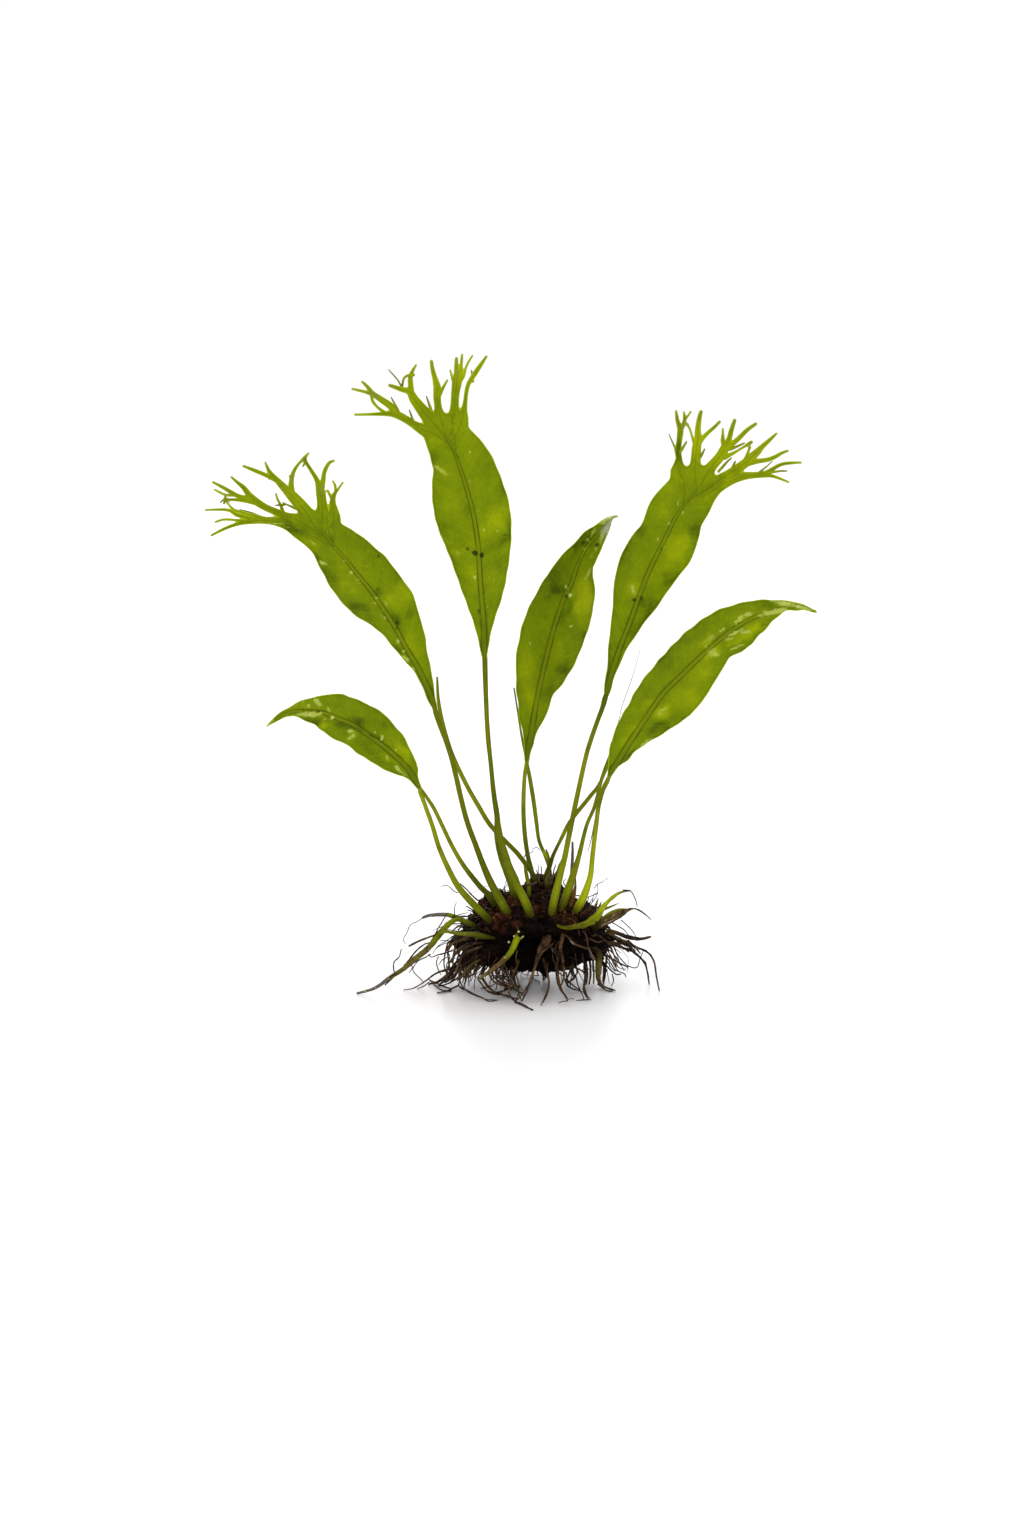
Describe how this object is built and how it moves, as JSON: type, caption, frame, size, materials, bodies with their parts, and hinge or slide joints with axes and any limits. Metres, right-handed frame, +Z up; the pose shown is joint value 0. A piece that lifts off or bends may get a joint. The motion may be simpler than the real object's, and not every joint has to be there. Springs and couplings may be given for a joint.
{
  "type": "java fern plant",
  "caption": "Java fern with crested and plain fronds on slender stalks, growing from a rhizome clump that stands on its own wiry roots.",
  "frame": {"origin": "on the surface that the plant rests on, at the middle of the clump's flat foot", "axes": "+Z up, +X to the right and -Y towards the viewer as the plant is seen from the front"},
  "size_m": [0.1674, 0.0683, 0.1782],
  "materials": {
    "plain_leaf": "thin translucent yellow-green leaf with a darker midrib and faint veins",
    "crested_leaf": "thin translucent yellow-green leaf, lighter towards the forked crest",
    "stalk": "satin olive-green stalk, brighter at its base",
    "runner": "olive-green to brown young shoot, slightly wet",
    "dead_stalk": "dark brown dead stalk, dull",
    "rhizome": "black-brown scaly rhizome matted with fine roots",
    "root": "dark brown wiry root"
  },
  "bodies": {
    "root": {"plain_frond_left": "plain_leaf", "plain_frond_middle": "plain_leaf", "plain_frond_right": "plain_leaf", "crested_frond_left": "crested_leaf", "crested_frond_middle": "crested_leaf", "crested_frond_right": "crested_leaf", "bare_stalk_left_long": "stalk", "bare_stalk_middle_back": "stalk", "bare_stalk_left_low": "stalk", "hair_tipped_stalk": "stalk", "bare_stalk_right_front": "stalk", "bare_stalk_right_back": "stalk", "leafy_bud": "runner", "pale_bud": "runner", "runner_left_short": "runner", "runner_left_long": "runner", "runner_left_side": "runner", "runner_front": "runner", "runner_right": "runner", "olive_strand": "runner", "dead_stalk_stub": "dead_stalk", "dead_leaf_base": "dead_stalk", "rhizome_clump": "rhizome", "root_left_foot": "root", "root_left_dark": "root", "root_front_left": "root", "root_far_left": "root", "root_front_middle": "root", "root_front_long": "root", "root_front_curl": "root", "root_front_right": "root", "root_right_foot": "root", "root_right_short": "root", "root_right_long": "root", "root_right_inner": "root", "root_right_pointed": "root", "root_back_left": "root", "root_back_middle": "root", "root_back_right": "root"}
  },
  "joints": []
}
